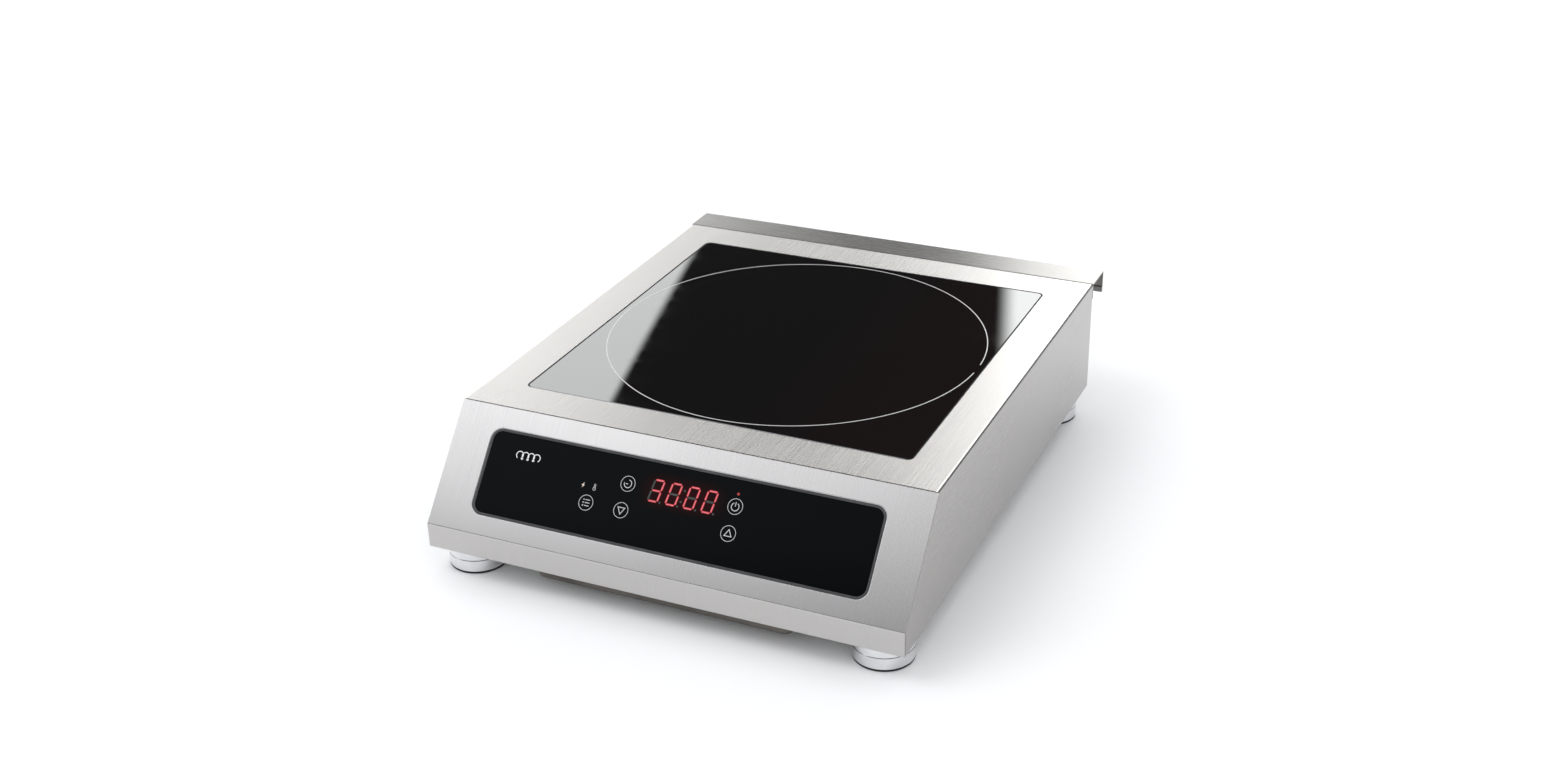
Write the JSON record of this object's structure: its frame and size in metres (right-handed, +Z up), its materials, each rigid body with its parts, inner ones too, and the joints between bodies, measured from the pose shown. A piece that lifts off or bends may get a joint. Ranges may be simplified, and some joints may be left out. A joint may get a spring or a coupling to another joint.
{
  "type": "induction hob",
  "caption": "Counter-top induction hob with a square glass-ceramic surface, a sloping touch panel with digits and adjustable screw feet.",
  "frame": {"origin": "centre of the footprint's bounding box, on the worktop under the rubber pads", "axes": "+X to the user's right, +Y from the sloping control panel to the rear hood, +Z up"},
  "size_m": [0.34, 0.429, 0.103],
  "materials": {
    "brushed_steel": "brushed, fine straight grain",
    "base_steel": "dull rolled sheet",
    "screw_steel": "bright zinc",
    "black_glass": "polished black glass-ceramic",
    "panel_glass": "polished, back-printed black",
    "silicone": "satin black silicone",
    "gasket_rubber": "satin dark grey",
    "foot_chrome": "polished chrome",
    "foot_rubber": "matt black",
    "zinc_steel": "zinc plated",
    "board_green": "solder mask",
    "black_plastic": "moulded, fine grain",
    "display_plastic": "smoked",
    "lamp_red": "clear red",
    "copper": "enamelled litz wire",
    "ferrite": "sintered ferrite",
    "mica": "mica",
    "aluminium": "mill finish",
    "sensor_silicone": "white silicone",
    "sensor_bead": "epoxy bead",
    "film_plastic": "moulded",
    "choke_winding": "enamelled wire",
    "fuse_ceramic": "ceramic",
    "ribbon_grey": "PVC"
  },
  "bodies": {
    "housing": {"top_cover": "brushed_steel", "front_panel": "brushed_steel", "rear_panel": "brushed_steel", "rear_hood": "brushed_steel", "base_plate": "base_steel", "intake_guard": "base_steel", "glass_support_frame": "base_steel", "hood_screws": "screw_steel", "base_screws": "screw_steel", "guard_screws": "screw_steel", "control_board_screws": "screw_steel", "fan_screws": "screw_steel", "coil_screws": "screw_steel", "board_screws": "screw_steel", "ceramic_glass": "black_glass", "control_glass": "panel_glass", "glass_sealant": "silicone", "control_gasket": "gasket_rubber", "foot_nuts": "zinc_steel", "coil_posts": "zinc_steel", "board_standoffs": "zinc_steel", "earth_stud": "zinc_steel", "sensor_spring": "zinc_steel", "key_springs": "zinc_steel", "control_board": "board_green", "power_board": "board_green", "panel_carrier": "black_plastic", "buzzer": "black_plastic", "power_transistors": "black_plastic", "bridge_rectifier": "black_plastic", "left_fan_frame": "black_plastic", "right_fan_frame": "black_plastic", "coil_former": "black_plastic", "cable_gland": "black_plastic", "gland_nut": "black_plastic", "display_module": "display_plastic", "indicator_lamps": "lamp_red", "coil_winding": "copper", "ferrite_bars": "ferrite", "mica_sheet": "mica", "coil_shield": "aluminium", "heatsink": "aluminium", "sensor_holder": "sensor_silicone", "temperature_sensor": "sensor_bead", "film_capacitors": "film_plastic", "terminal_block": "film_plastic", "filter_choke": "choke_winding", "mains_fuse": "fuse_ceramic", "ribbon_cable": "ribbon_grey"},
    "front_left_pad": {"front_left_foot_pad": "foot_rubber"},
    "front_left_cup": {"front_left_foot_cup": "foot_chrome"},
    "front_right_pad": {"front_right_foot_pad": "foot_rubber"},
    "front_right_cup": {"front_right_foot_cup": "foot_chrome"},
    "rear_left_pad": {"rear_left_foot_pad": "foot_rubber"},
    "rear_left_cup": {"rear_left_foot_cup": "foot_chrome"},
    "rear_right_pad": {"rear_right_foot_pad": "foot_rubber"},
    "rear_right_cup": {"rear_right_foot_cup": "foot_chrome"},
    "left_fan": {"left_fan_rotor": "black_plastic"},
    "right_fan": {"right_fan_rotor": "black_plastic"}
  },
  "joints": [
    {"name": "front_left_foot_lift", "type": "slide", "parent": "housing", "child": "front_left_pad", "axis": [0, 0, -1], "range_m": [0, 0.0075]},
    {"name": "front_left_foot_turn", "type": "hinge", "parent": "front_left_pad", "child": "front_left_cup", "pos_m": [-0.1475, -0.1906, 0.01], "axis": [0, 0, -1], "range_deg": [0, 2160]},
    {"name": "front_right_foot_lift", "type": "slide", "parent": "housing", "child": "front_right_pad", "axis": [0, 0, -1], "range_m": [0, 0.0075]},
    {"name": "front_right_foot_turn", "type": "hinge", "parent": "front_right_pad", "child": "front_right_cup", "pos_m": [0.1475, -0.1906, 0.01], "axis": [0, 0, -1], "range_deg": [0, 2160]},
    {"name": "rear_left_foot_lift", "type": "slide", "parent": "housing", "child": "rear_left_pad", "axis": [0, 0, -1], "range_m": [0, 0.0075]},
    {"name": "rear_left_foot_turn", "type": "hinge", "parent": "rear_left_pad", "child": "rear_left_cup", "pos_m": [-0.1475, 0.1615, 0.01], "axis": [0, 0, -1], "range_deg": [0, 2160]},
    {"name": "rear_right_foot_lift", "type": "slide", "parent": "housing", "child": "rear_right_pad", "axis": [0, 0, -1], "range_m": [0, 0.0075]},
    {"name": "rear_right_foot_turn", "type": "hinge", "parent": "rear_right_pad", "child": "rear_right_cup", "pos_m": [0.1475, 0.1615, 0.01], "axis": [0, 0, -1], "range_deg": [0, 2160]},
    {"name": "left_fan_spin", "type": "hinge", "parent": "housing", "child": "left_fan", "pos_m": [-0.05, -0.14, 0.03], "axis": [0, 0, 1], "continuous": true},
    {"name": "right_fan_spin", "type": "hinge", "parent": "housing", "child": "right_fan", "pos_m": [0.05, -0.14, 0.03], "axis": [0, 0, 1], "continuous": true}
  ],
  "couplings": [
    {"joint": "front_left_foot_lift", "follows": "front_left_foot_turn", "m_per_rad": 0.00019894},
    {"joint": "front_right_foot_lift", "follows": "front_right_foot_turn", "m_per_rad": 0.00019894},
    {"joint": "rear_left_foot_lift", "follows": "rear_left_foot_turn", "m_per_rad": 0.00019894},
    {"joint": "rear_right_foot_lift", "follows": "rear_right_foot_turn", "m_per_rad": 0.00019894}
  ]
}
